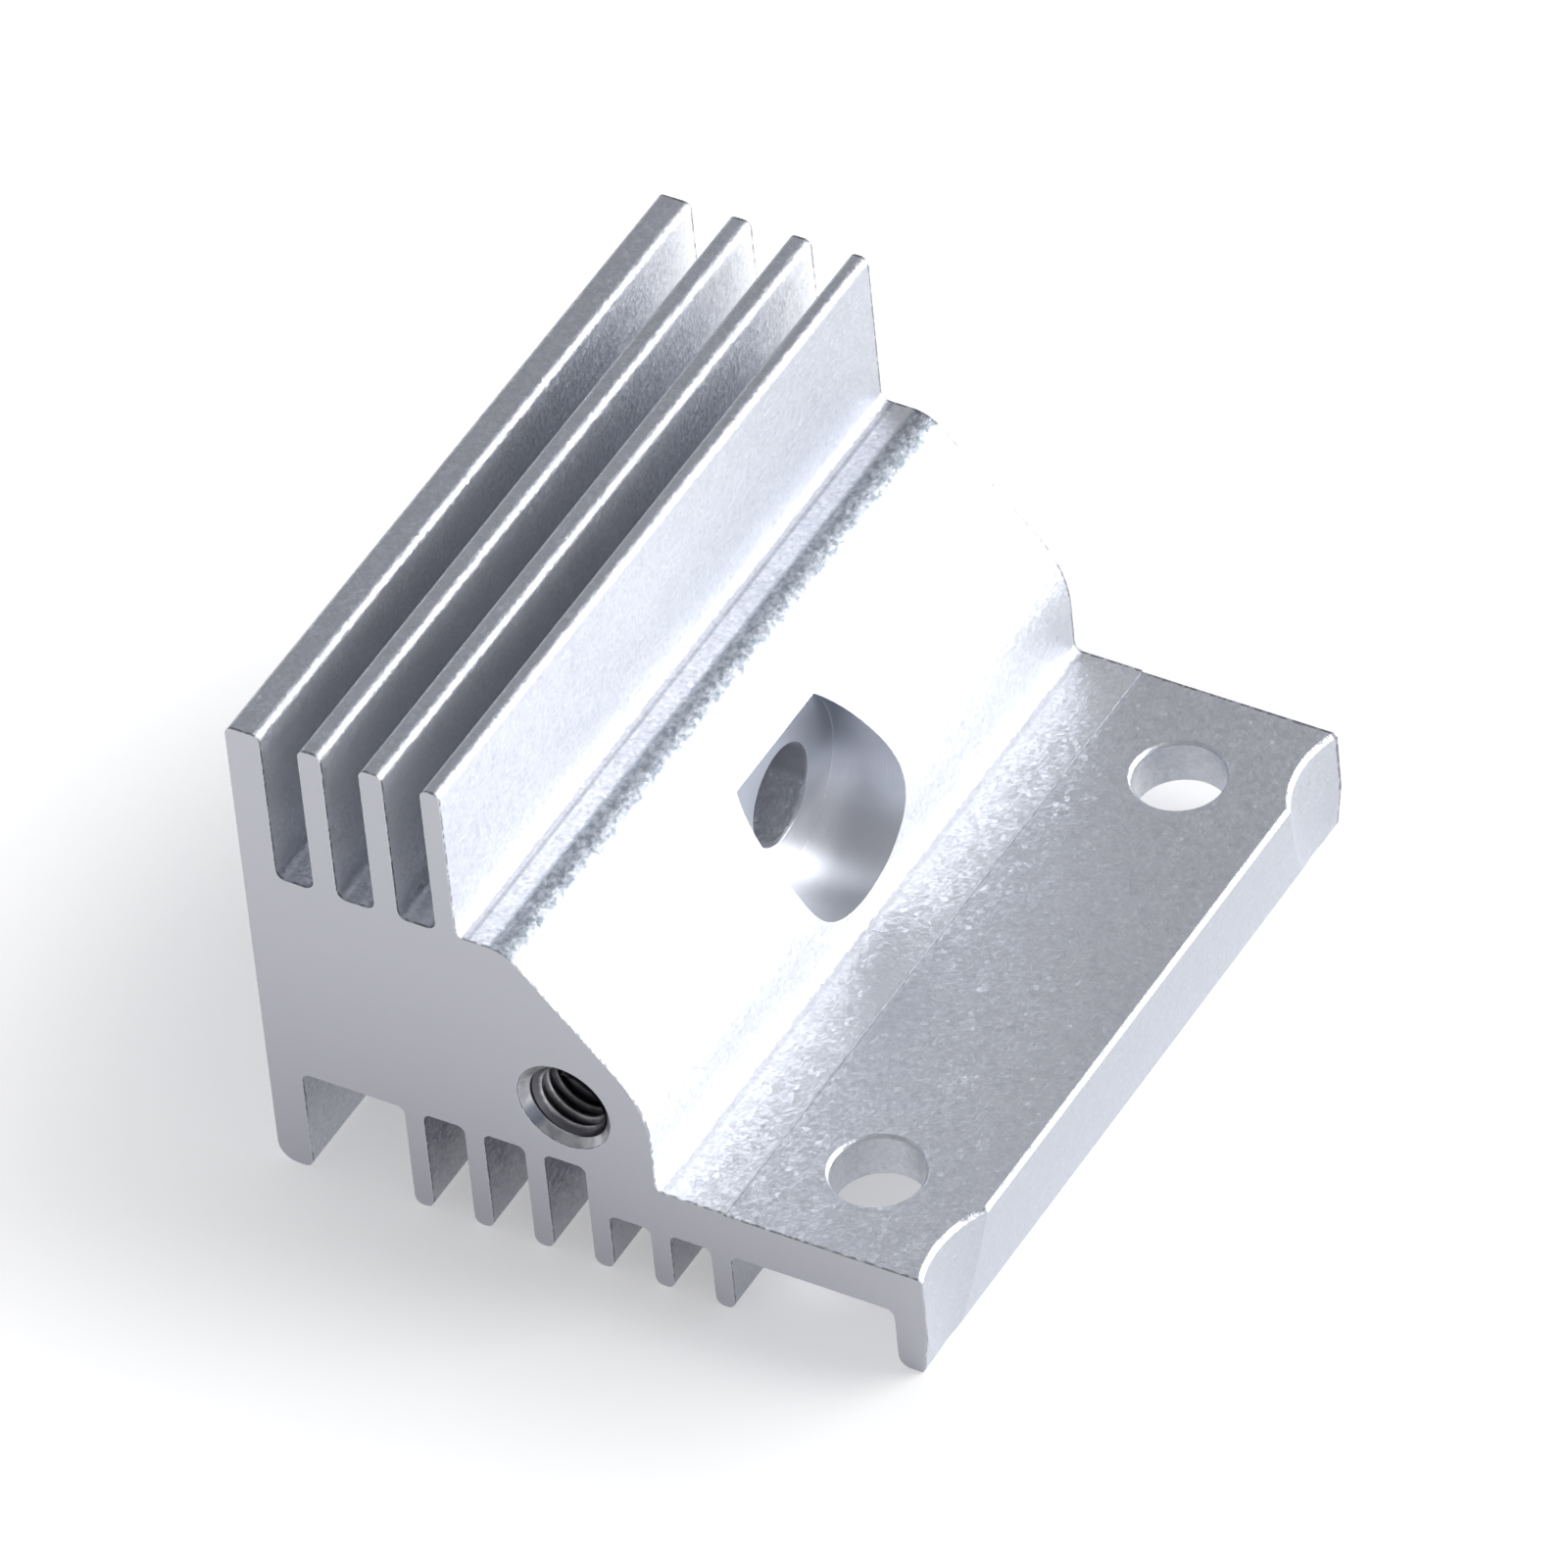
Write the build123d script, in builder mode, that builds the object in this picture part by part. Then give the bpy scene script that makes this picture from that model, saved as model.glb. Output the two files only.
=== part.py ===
"""Heat sink sawn from one extruded aluminium profile, then drilled, tapped and relieved.

The profile lies in the XZ plane and runs along Y.  The origin is the middle of
the bottom of the overall size: fin tips and lip stand on Z = 0, the tall wall
is at -X, the lip at +X and the tapped end at -Y.  All sizes are in millimetres.
"""
import os
from math import radians, tan

from build123d import *

# Length of the sawn piece and height of the wall and fins
LENGTH = 40.0
HEIGHT = 27.0

# Tall wall and the three fins beside it
WALL_THICKNESS = 1.8
TOP_SLOT_WIDTH = 2.0
TOP_FIN_THICKNESSES = (1.2, 1.2, 1.0)
CORE_TOP = 18.3
TOP_FLOOR_RADIUS = 0.5
TOP_TIP_RADIUS = 0.4
WALL_FOOT_RADIUS = 1.0

# Sloped side of the core
LEDGE_WIDTH = 2.5
LEDGE_CORNER_RADIUS = 0.5
RIDGE_RADIUS = 2.0
SLOPE_ANGLE = 47.0
SHOULDER_RADIUS = 5.6
SIDE_FACE_FROM_WALL = 20.5
SIDE_FOOT_RADIUS = 0.45

# Plate and the lip along its edge
PLATE_UNDERSIDE = 3.4
PLATE_THICKNESS = 2.5
LAND_WIDTH = 3.55
LAND_STEP = 0.1
SPAN_TO_LIP = 8.55
LIP_THICKNESS = 1.3
LIP_LEAN = 0.8
LIP_TOP_BEVEL = 0.2
LIP_ROOT_RADIUS = 0.5
LIP_TIP_INNER_RADIUS = 0.6
LIP_TIP_OUTER_RADIUS = 0.2

# Fins below the core and below the plate
CORE_UNDERSIDE = 6.0
CHANNEL_WIDTH = 5.45
BOTTOM_FIN_THICKNESS = 1.0
BOTTOM_SLOT_WIDTH = 2.18
DEEP_SLOTS = 3
SHALLOW_SLOTS = 2
BOTTOM_ROOT_RADIUS = 0.4
BOTTOM_TIP_RADIUS = 0.45

# Two clearance holes through the plate
PLATE_HOLE_DIAMETER = 4.5
PLATE_HOLE_SPACING = 28.9
PLATE_HOLE_FROM_LIP = 3.7
PLATE_HOLE_CHAMFER = 0.15

# Counterbored hole across the core, out through the tall wall
CROSS_HOLE_DIAMETER = 5.1
COUNTERBORE_DIAMETER = 9.8
COUNTERBORE_DEPTH = 4.1
CROSS_HOLE_HEIGHT = 12.1

# Tapped hole in the near end
THREAD_DIAMETER = 4.0
THREAD_DEPTH = 10.0
THREAD_MOUTH_DIAMETER = 4.9
DRILL_POINT_ANGLE = 118.0
TAPPED_HOLE_FROM_WALL = 16.0
TAPPED_HOLE_HEIGHT = 9.5

# Shallow reliefs milled into the lip at both ends
RELIEF_RADIUS = 6.0
RELIEF_DEPTH = 0.9
RELIEF_FROM_END = 2.3

# How far a cutting shape runs past the face it opens through
OVERRUN = 2.0

plate_top = PLATE_UNDERSIDE + PLATE_THICKNESS
fins_width = sum(TOP_FIN_THICKNESSES) + len(TOP_FIN_THICKNESSES) * TOP_SLOT_WIDTH
ledge_from_wall = WALL_THICKNESS + fins_width
ridge_from_wall = ledge_from_wall + LEDGE_WIDTH
slope_drop = (SIDE_FACE_FROM_WALL - ridge_from_wall) * tan(radians(SLOPE_ANGLE))
shoulder_height = CORE_TOP - slope_drop
land_from_wall = SIDE_FACE_FROM_WALL + LAND_WIDTH
bottom_fins_from_wall = WALL_THICKNESS + CHANNEL_WIDTH
bottom_pitch = BOTTOM_FIN_THICKNESS + BOTTOM_SLOT_WIDTH
span_from_wall = bottom_fins_from_wall + (DEEP_SLOTS + SHALLOW_SLOTS) * bottom_pitch + BOTTOM_FIN_THICKNESS
lip_inside_from_wall = span_from_wall + SPAN_TO_LIP
lip_foot_from_wall = lip_inside_from_wall + LIP_THICKNESS
overall_width = lip_foot_from_wall + LIP_LEAN


def across(from_wall):
    """X of a point given by its distance from the outer face of the tall wall."""
    return from_wall - overall_width / 2


def cut_slot(start, width, closed_at, open_at, radius):
    """Cut one slot of the profile, with rounded corners at its closed end."""
    past = open_at + (OVERRUN if open_at > closed_at else -OVERRUN)
    with Locations((across(start + width / 2), (closed_at + past) / 2)):
        RectangleRounded(width, abs(past - closed_at), radius, mode=Mode.SUBTRACT)


def corners_at(sketch, places):
    """Corners of the profile at places given as distance from the wall's face and height."""
    return [sketch.vertices().sort_by_distance(Vector(across(start), height))[0] for start, height in places]


far_end = Plane.XZ.offset(-LENGTH / 2)
with BuildPart() as heat_sink:
    # The extruded profile
    with BuildSketch(far_end) as profile:
        with BuildLine():
            Polyline(
                (across(0), 0),
                (across(0), HEIGHT),
                (across(ledge_from_wall), HEIGHT),
                (across(ledge_from_wall), CORE_TOP),
                (across(ridge_from_wall), CORE_TOP),
                (across(SIDE_FACE_FROM_WALL), shoulder_height),
                (across(SIDE_FACE_FROM_WALL), plate_top + LAND_STEP),
                (across(land_from_wall), plate_top + LAND_STEP),
                (across(land_from_wall), plate_top),
                (across(overall_width), plate_top),
                (across(lip_foot_from_wall), 0),
                close=True,
            )
        make_face()

        slot_start = WALL_THICKNESS
        for thickness in TOP_FIN_THICKNESSES:
            cut_slot(slot_start, TOP_SLOT_WIDTH, CORE_TOP, HEIGHT, TOP_FLOOR_RADIUS)
            slot_start += TOP_SLOT_WIDTH + thickness

        cut_slot(WALL_THICKNESS, CHANNEL_WIDTH, CORE_UNDERSIDE, 0, BOTTOM_ROOT_RADIUS)
        slot_start = bottom_fins_from_wall + BOTTOM_FIN_THICKNESS
        for slot in range(DEEP_SLOTS + SHALLOW_SLOTS):
            closed_at = CORE_UNDERSIDE if slot < DEEP_SLOTS else PLATE_UNDERSIDE
            cut_slot(slot_start, BOTTOM_SLOT_WIDTH, closed_at, 0, BOTTOM_ROOT_RADIUS)
            slot_start += bottom_pitch
        cut_slot(span_from_wall, SPAN_TO_LIP, PLATE_UNDERSIDE, 0, LIP_ROOT_RADIUS)

        fin_tips = [(WALL_THICKNESS, 0)]
        for fin in range(1 + DEEP_SLOTS + SHALLOW_SLOTS):
            fin_start = bottom_fins_from_wall + fin * bottom_pitch
            fin_tips += [(fin_start, 0), (fin_start + BOTTOM_FIN_THICKNESS, 0)]
        fillet(profile.vertices().group_by(Axis.Y)[-1], TOP_TIP_RADIUS)
        fillet(corners_at(profile, fin_tips), BOTTOM_TIP_RADIUS)
        fillet(corners_at(profile, [(lip_inside_from_wall, 0)]), LIP_TIP_INNER_RADIUS)
        fillet(corners_at(profile, [(lip_foot_from_wall, 0)]), LIP_TIP_OUTER_RADIUS)
        fillet(corners_at(profile, [(0, 0)]), WALL_FOOT_RADIUS)
        fillet(corners_at(profile, [(ledge_from_wall, CORE_TOP)]), LEDGE_CORNER_RADIUS)
        fillet(corners_at(profile, [(ridge_from_wall, CORE_TOP)]), RIDGE_RADIUS)
        fillet(corners_at(profile, [(SIDE_FACE_FROM_WALL, shoulder_height)]), SHOULDER_RADIUS)
        fillet(corners_at(profile, [(SIDE_FACE_FROM_WALL, plate_top + LAND_STEP)]), SIDE_FOOT_RADIUS)
    extrude(amount=LENGTH)

    # Clearance holes through the plate, with broken edges above and below
    hole_x = across(lip_inside_from_wall - PLATE_HOLE_FROM_LIP)
    with Locations((hole_x, 0, plate_top)):
        with GridLocations(0, PLATE_HOLE_SPACING, 1, 2):
            Hole(PLATE_HOLE_DIAMETER / 2)
    rims = heat_sink.edges().filter_by(GeomType.CIRCLE).filter_by(lambda edge: edge.is_closed)
    chamfer(rims, PLATE_HOLE_CHAMFER)

    # Counterbored hole from the sloped side to the face of the tall wall
    side_plane = Plane(
        origin=(across(SIDE_FACE_FROM_WALL), 0, CROSS_HOLE_HEIGHT),
        x_dir=(0, 1, 0),
        z_dir=(1, 0, 0),
    )
    with Locations(side_plane):
        CounterBoreHole(
            CROSS_HOLE_DIAMETER / 2,
            COUNTERBORE_DIAMETER / 2,
            COUNTERBORE_DEPTH,
            depth=SIDE_FACE_FROM_WALL,
        )

    # Tapped hole with its countersunk mouth and the point left by the drill
    thread_radius = THREAD_DIAMETER / 2
    mouth_radius = THREAD_MOUTH_DIAMETER / 2
    drill_point = thread_radius / tan(radians(DRILL_POINT_ANGLE / 2))
    end_plane = Plane(
        origin=(across(TAPPED_HOLE_FROM_WALL), -LENGTH / 2, TAPPED_HOLE_HEIGHT),
        x_dir=(1, 0, 0),
        z_dir=(0, 0, 1),
    )
    with BuildSketch(end_plane):
        with BuildLine():
            Polyline(
                (0, 0),
                (mouth_radius, 0),
                (thread_radius, mouth_radius - thread_radius),
                (thread_radius, THREAD_DEPTH),
                (0, THREAD_DEPTH + drill_point),
                close=True,
            )
        make_face()
    revolve(axis=Axis(end_plane.origin, (0, 1, 0)), mode=Mode.SUBTRACT)

    # Reliefs in the lip at both ends, then one bevel along the lip and round them
    relief_x = across(overall_width - RELIEF_DEPTH + RELIEF_RADIUS)
    with BuildSketch(Plane.XY):
        with Locations((relief_x, 0)):
            with GridLocations(0, LENGTH - 2 * RELIEF_FROM_END, 1, 2):
                Circle(RELIEF_RADIUS)
    extrude(amount=plate_top, mode=Mode.SUBTRACT)
    plate_face = heat_sink.faces().sort_by_distance((hole_x, 0, plate_top))[0]
    lip_rim = plate_face.edges().filter_by_position(Axis.X, across(lip_inside_from_wall), across(overall_width))
    chamfer(lip_rim, LIP_TOP_BEVEL)

heat_sink.part.label = "heat_sink"

os.makedirs("parts", exist_ok=True)
export_step(heat_sink.part, "parts/heat_sink.step")
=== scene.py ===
"""Studio scene of the extruded aluminium heat sink.

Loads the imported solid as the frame, dresses it in satin aluminium with its sawn,
drilled and tapped places, adds the turns of the tapped hole, and sets up the floor,
the lights and the camera.  Lengths are in millimetres unless a class says otherwise;
the scene itself is in metres.
"""
import logging
from dataclasses import dataclass, field
from enum import Enum

import bpy
import numpy as np
from mathutils import Matrix, Vector


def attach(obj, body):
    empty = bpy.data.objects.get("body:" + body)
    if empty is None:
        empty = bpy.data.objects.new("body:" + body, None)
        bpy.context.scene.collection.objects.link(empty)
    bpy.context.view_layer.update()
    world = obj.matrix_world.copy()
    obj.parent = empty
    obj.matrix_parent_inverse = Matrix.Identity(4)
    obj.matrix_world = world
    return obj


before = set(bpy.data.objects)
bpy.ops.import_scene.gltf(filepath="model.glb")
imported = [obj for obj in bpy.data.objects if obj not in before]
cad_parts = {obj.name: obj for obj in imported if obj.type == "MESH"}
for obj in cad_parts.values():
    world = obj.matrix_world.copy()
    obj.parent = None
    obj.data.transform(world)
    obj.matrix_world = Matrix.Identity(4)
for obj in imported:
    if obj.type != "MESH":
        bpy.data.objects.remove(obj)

MM = 0.001
MICRON = MM * 0.001
FULL_TURN = 2.0 * np.pi
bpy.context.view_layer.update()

# A little less than bare metal, for the oxide on it
METALLIC = 0.93
BEVEL_SAMPLES = 3
GLOSSY_BOUNCES = 8

logging.basicConfig(level=logging.INFO, format="%(message)s")
log = logging.getLogger("heat_sink")

Vec3 = tuple[float, float, float]
Colour = tuple[float, float, float]
Socket = bpy.types.NodeSocket
Value = Socket | float | tuple[float, ...]

# Where a smooth step begins and is complete, and then its results before and after it
Fade = tuple[float, ...]

# The middle of a noise's values, where nearly all of them lie
NOISE_RANGE: Fade = (0.3, 0.7)
STEP_LIMITS = ("From Min", "From Max", "To Min", "To Max")


class Axis(Enum):
    """The three directions of the shared frame."""

    X = 0
    Y = 1
    Z = 2

    @property
    def across(self) -> Vec3:
        """A mask that keeps the two other directions."""
        return tuple(0.0 if i == self.value else 1.0 for i in range(3))


@dataclass(frozen=True)
class Clouds:
    """Cloudy noise: how large its clouds are, how many finer layers it has and where it starts."""

    size: Vec3
    layers: float = 2.0
    shift: float = 0.0


@dataclass(frozen=True)
class Zone:
    """A part of the profile; a side that is left out stays open."""

    left: float = -np.inf
    right: float = np.inf
    bottom: float = -np.inf
    top: float = np.inf


class NodeGraph:
    """Short calls that add nodes to one material, with positions in millimetres."""

    def __init__(self, name: str) -> None:
        """Start an empty material.

        Args:
            name: the material's name.
        """
        self.material = bpy.data.materials.new(name)
        self.material.use_nodes = True
        self.tree = self.material.node_tree
        self.tree.nodes.clear()
        coordinates = self.add("ShaderNodeTexCoord")
        self.place = self.vector("SCALE", coordinates.outputs["Object"], scale=1.0 / MM)
        self.normal = coordinates.outputs["Normal"]
        self.x, self.y, self.z = self.split(self.place)
        self.nx, self.ny, self.nz = self.split(self.normal)

    def add(self, kind: str, **settings: object) -> bpy.types.Node:
        """Add a node.

        Args:
            kind: Blender's name of the node type.
            settings: properties set on the node.

        Returns:
            The new node.
        """
        node = self.tree.nodes.new(kind)
        for name, value in settings.items():
            setattr(node, name, value)
        return node

    def feed(self, socket: Socket, value: Value) -> None:
        """Give an input a constant, or link another node's output to it.

        Args:
            socket: the input.
            value: a number, a tuple or an output socket.
        """
        if isinstance(value, Socket):
            self.tree.links.new(value, socket)
        else:
            socket.default_value = value

    def split(self, value: Socket) -> tuple[Socket, ...]:
        """Take a vector apart.

        Args:
            value: the vector.

        Returns:
            Its three parts, as three outputs.
        """
        node = self.add("ShaderNodeSeparateXYZ")
        self.feed(node.inputs[0], value)
        return tuple(node.outputs)

    def math(self, operation: str, *values: Value) -> Socket:
        """Combine numbers.

        Args:
            operation: Blender's name of the operation.
            values: its one to three inputs.

        Returns:
            The result.
        """
        node = self.add("ShaderNodeMath", operation=operation)
        for socket, value in zip(node.inputs, values):
            self.feed(socket, value)
        return node.outputs[0]

    def vector(self, operation: str, *values: Value, scale: Value | None = None) -> Socket:
        """Combine vectors.

        Args:
            operation: Blender's name of the operation.
            values: its vector inputs.
            scale: the factor of the SCALE operation.

        Returns:
            The vector, or the number for a length, distance or dot product.
        """
        node = self.add("ShaderNodeVectorMath", operation=operation)
        for socket, value in zip(node.inputs, values):
            self.feed(socket, value)
        if scale is not None:
            self.feed(node.inputs["Scale"], scale)
        number = operation in ("LENGTH", "DISTANCE", "DOT_PRODUCT")
        return node.outputs["Value" if number else "Vector"]

    def step(self, value: Value, start: float, end: float, low: float = 0.0, high: float = 1.0) -> Socket:
        """A smooth step of a value.

        Args:
            value: the value that drives the step.
            start: where the step begins; it may lie above the end, for a falling step.
            end: where it is complete.
            low: the result before the start.
            high: the result after the end.

        Returns:
            The stepped value.
        """
        node = self.add("ShaderNodeMapRange", interpolation_type="SMOOTHSTEP")
        flipped = start > end
        limits = (end, start, high, low) if flipped else (start, end, low, high)
        self.feed(node.inputs["Value"], value)
        for name, limit in zip(STEP_LIMITS, limits):
            self.feed(node.inputs[name], limit)
        return node.outputs["Result"]

    def above(self, value: Value, limit: float, soft: float) -> Socket:
        """A mask that is 1 from a limit upwards.

        Args:
            value: the value that is compared.
            limit: where the mask is 1.
            soft: how far below the limit it has faded out.

        Returns:
            The mask.
        """
        return self.step(value, limit - soft, limit)

    def below(self, value: Value, limit: float, soft: float) -> Socket:
        """A mask that is 1 from a limit downwards.

        Args:
            value: the value that is compared.
            limit: where the mask is 1.
            soft: how far above the limit it has faded out.

        Returns:
            The mask.
        """
        return self.step(value, limit + soft, limit)

    def noise(self, clouds: Clouds) -> Socket:
        """Cloudy noise from 0 to 1.

        Args:
            clouds: its size, layers and start.

        Returns:
            The noise value.
        """
        stretched = self.vector("DIVIDE", self.place, clouds.size)
        moved = self.vector("ADD", stretched, (clouds.shift,) * 3)
        node = self.add("ShaderNodeTexNoise", noise_dimensions="3D", normalize=True)
        self.feed(node.inputs["Vector"], moved)
        self.feed(node.inputs["Scale"], 1.0)
        self.feed(node.inputs["Detail"], clouds.layers)
        return node.outputs["Fac"]

    def cells(self, size: float) -> bpy.types.Node:
        """Space filled with small cells, each with a random colour of its own.

        Args:
            size: how wide a cell is.

        Returns:
            The node, whose outputs are the cell's colour and the distance from its middle.
        """
        node = self.add("ShaderNodeTexVoronoi", voronoi_dimensions="3D", feature="F1")
        self.feed(node.inputs["Vector"], self.place)
        self.feed(node.inputs["Scale"], 1.0 / size)
        return node

    def flecks(self, spacing: float, size: float, share: float) -> Socket:
        """Small spots scattered at random through space.

        Args:
            spacing: how far apart the spots lie.
            size: how wide a spot is.
            share: the part of the possible spots that are there, from 0 to 1.

        Returns:
            A mask that is 1 in the middle of a spot.
        """
        cells = self.cells(spacing)
        there = self.step(self.split(cells.outputs["Color"])[0], share, share - 0.01)
        near = self.step(cells.outputs["Distance"], 0.5 * size / spacing, 0.25 * size / spacing)
        return self.all_of(near, there)

    def facets(self, size: float, tilt: float, steep_cells: Fade, steeper: float) -> Socket:
        """Tiny facets, each with its own tilt, a few of them steeper.

        Args:
            size: how wide a facet is.
            tilt: how far a facet leans, as a part of the normal's length.
            steep_cells: the step of a cell's random number that picks the steep ones.
            steeper: how many times as far the steep ones lean.

        Returns:
            The vector to add to the normal.
        """
        cells = self.cells(size)
        lean = self.vector("SUBTRACT", cells.outputs["Color"], (0.5, 0.5, 0.5))
        amount = self.step(self.split(cells.outputs["Color"])[1], *steep_cells, tilt, steeper * tilt)
        return self.vector("SCALE", lean, scale=amount)

    def mix(self, factor: Value, first: Value, second: Value) -> Socket:
        """A number between two others.

        Args:
            factor: how far it lies towards the second number.
            first: the number at factor 0.
            second: the number at factor 1.

        Returns:
            The number.
        """
        node = self.add("ShaderNodeMix", data_type="FLOAT")
        for place, value in zip((0, 2, 3), (factor, first, second)):
            self.feed(node.inputs[place], value)
        return node.outputs[0]

    def tint(self, factor: Value, first: Value, second: Value) -> Socket:
        """A colour between two others.

        Args:
            factor: how much of the second colour shows.
            first: the colour below, as three numbers or an output.
            second: the colour above.

        Returns:
            The mixed colour.
        """
        node = self.add("ShaderNodeMix", data_type="RGBA")
        self.feed(node.inputs[0], factor)
        for place, value in zip((6, 7), (first, second)):
            self.feed(node.inputs[place], (*value, 1.0) if isinstance(value, tuple) else value)
        return node.outputs[2]

    def from_axis(self, axis: Axis, point: Vec3) -> Socket:
        """Distance from a line through a point along one of the three directions.

        Args:
            axis: the line's direction.
            point: a point on the line.

        Returns:
            The distance.
        """
        moved = self.vector("SUBTRACT", self.place, point)
        return self.vector("LENGTH", self.vector("MULTIPLY", moved, axis.across))

    def wave(self, along: Socket, pitch: float) -> Socket:
        """A sine of a distance.

        Args:
            along: the distance.
            pitch: the length of one wave.

        Returns:
            The sine, from -1 to 1.
        """
        return self.math("SINE", self.math("MULTIPLY", along, FULL_TURN / pitch))

    def outside(self, mask: Socket) -> Socket:
        """The opposite of a mask."""
        return self.math("SUBTRACT", 1.0, mask)

    def all_of(self, *masks: Value) -> Socket:
        """Multiply masks.

        Args:
            masks: the masks.

        Returns:
            Their product, which is 1 only where all of them are.
        """
        product = masks[0]
        for mask in masks[1:]:
            product = self.math("MULTIPLY", product, mask)
        return product

    def any_of(self, *masks: Value) -> Socket:
        """Join masks.

        Args:
            masks: the masks.

        Returns:
            The largest of them at each place.
        """
        largest = masks[0]
        for mask in masks[1:]:
            largest = self.math("MAXIMUM", largest, mask)
        return largest

    def finish(self, colour: Value, roughness: Value, height: Value, normal: Value) -> bpy.types.Material:
        """Join everything to a metal shader.

        Args:
            colour: the metal's colour.
            roughness: its roughness.
            height: the relief, in thousandths of a millimetre.
            normal: the normal that the relief is added to.

        Returns:
            The material.
        """
        bump = self.add("ShaderNodeBump")
        self.feed(bump.inputs["Strength"], 1.0)
        self.feed(bump.inputs["Distance"], MICRON)
        self.feed(bump.inputs["Height"], height)
        self.feed(bump.inputs["Normal"], normal)
        shader = self.add("ShaderNodeBsdfPrincipled")
        self.feed(shader.inputs["Metallic"], METALLIC)
        self.feed(shader.inputs["Base Color"], colour)
        self.feed(shader.inputs["Roughness"], roughness)
        self.feed(shader.inputs["Normal"], bump.outputs["Normal"])
        output = self.add("ShaderNodeOutputMaterial")
        self.feed(output.inputs["Surface"], shader.outputs[0])
        return self.material


@dataclass(frozen=True)
class BlastedAluminium:
    """Natural anodised aluminium, finely blasted, with its sawn and drilled places.

    Heights are in thousandths of a millimetre.
    """

    # Colours
    colour: Colour = (0.77, 0.785, 0.825)
    dull_colour: Colour = (0.71, 0.725, 0.77)
    bored_colour: Colour = (0.66, 0.68, 0.735)
    edge_colour: Colour = (0.92, 0.93, 0.96)
    shade_colour: Colour = (0.56, 0.58, 0.63)
    # Painted shade in the lower channel and its slots
    channel_shade_colour: Colour = (0.44, 0.45, 0.49)
    # The sawn ends' own duller colour, darkened further as painted shade
    sawn_and_shade_colour: Colour = (0.497, 0.502, 0.540)
    # Darker ridge band and lip nicks, and painted shade in the counterbore
    dark_mark_and_shade_colour: Colour = (0.27, 0.305, 0.35)
    # Thin darker corner lines, and painted shade on the land's step
    dark_line_colour: Colour = (0.30, 0.31, 0.34)
    # Painted shade in the tapped hole's mouth
    mouth_shade_colour: Colour = (0.56, 0.56, 0.57)
    darkening_colour: Colour = (0.15, 0.165, 0.22)
    end_line_colour: Colour = (0.20, 0.205, 0.22)
    # Painted shade on the tapped hole's wall and drill point
    tapped_hole_shade_colour: Colour = (0.16, 0.16, 0.18)

    # Roughness, and how much the grain and the clouds change it either way
    roughness: float = 0.46
    sawn_roughness: float = 0.5
    cut_roughness: float = 0.36
    edge_roughness: float = 0.24
    grain_change: float = 0.06
    cloud_change: float = 0.03

    # Blasted surface
    grain: Clouds = Clouds((0.24, 0.24, 0.24), 1.5)
    fine_grain: Clouds = Clouds((0.1, 0.1, 0.1), 1.0, 7.0)
    mottle: Clouds = Clouds((0.55, 0.55, 0.55), 2.0, 13.0)
    cloud: Clouds = Clouds((5.0, 9.0, 5.0), 2.0, 3.0)
    streak: Clouds = Clouds((0.16, 14.0, 0.16), 2.0, 11.0)
    cloud_fade: Fade = (0.35, 0.7)
    mottle_fade: Fade = (0.5, 0.3, 0.0, 0.35)
    pit_fade: Fade = (0.46, 0.34, 0.0, 0.4)
    peak_fade: Fade = (0.56, 0.7, 0.0, 0.4)
    grain_height: float = 30.0
    fine_grain_height: float = 9.0
    streak_height: float = 2.0
    facet_size: float = 0.28
    facet_tilt: float = 0.14
    steep_facets: Fade = (0.93, 0.97)
    steeper: float = 1.8
    fleck_spacing: float = 0.75
    fleck_size: float = 0.3
    fleck_share: float = 0.3
    fleck_strength: float = 0.75
    fleck_height: float = 12.0

    # Sawn, bored and tapped places
    machined_relief: float = 0.1
    saw_centre: Vec3 = (-70.0, 0.0, -95.0)
    saw_pitch: float = 0.42
    saw_height: float = 1.2
    saw_changes: Clouds = Clouds((6.0, 6.0, 6.0), 2.0, 9.0)
    ring_pitch: float = 0.16
    ring_height: float = 3.0
    ring_changes: Clouds = Clouds((1.2, 1.2, 1.2), 1.0, 5.0)
    dark_patch_fade: Fade = (0.9, 0.3, 0.0, 0.85)
    stain: Clouds = Clouds((0.7, 0.7, 0.7), 1.0, 23.0)
    stain_fade: Fade = (0.45, 0.65, 0.0, 0.4)
    bore_shade_strength: float = 0.55

    # Which faces are meant, as steps of the normal's part along a direction
    end_facing: Fade = (0.85, 0.97)
    floor_facing: Fade = (0.7, 0.9)
    side_facing: Fade = (0.4, 0.6)
    side_upright: Fade = (0.56, 0.44, 0.0, 0.4)
    lip_facing: Fade = (0.72, 0.88, 0.0, 0.95)
    far_end_facing: Fade = (0.6, 0.9)
    bright_facing: Fade = (0.9, 0.98, 0.0, 0.6)
    not_level: Fade = (0.95, 0.85)
    not_upright: Fade = (0.3, 0.45)

    # Painted shade in the channel, on the fin tops and on the land's step, the darker ridge band, worn
    # places, edges and corners
    channel_shade_fade: Fade = (-12.0, -10.0, 0.55, 0.94)
    edge_radius: float = 0.08
    edge_fade: Fade = (1.0, 0.86)
    edge_raggedness: float = 0.05
    edge_strength: float = 0.7
    fin_top_shade_strength: float = 0.8
    corner_line_fade: Fade = (0.15, 0.05, 0.0, 0.5)
    land_step_shade_fade: Fade = (0.11, 0.06, 0.0, 0.48)
    speckle: Clouds = Clouds((0.32, 0.4, 0.32), 1.0, 31.0)
    speckle_fade: Fade = (0.3, 0.66, 1.0, 0.6)
    speckle_reach: float = 0.24
    nicks: Clouds = Clouds((0.5, 0.5, 0.5), 2.0, 41.0)
    nick_reach: float = 0.5
    nick_strength: float = 0.85
    end_lines: Clouds = Clouds((0.35, 0.35, 0.35), 2.0, 17.0)
    end_line_fade: Fade = (0.38, 0.55, 0.15, 0.8)
    end_line_width: float = 0.16


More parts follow.
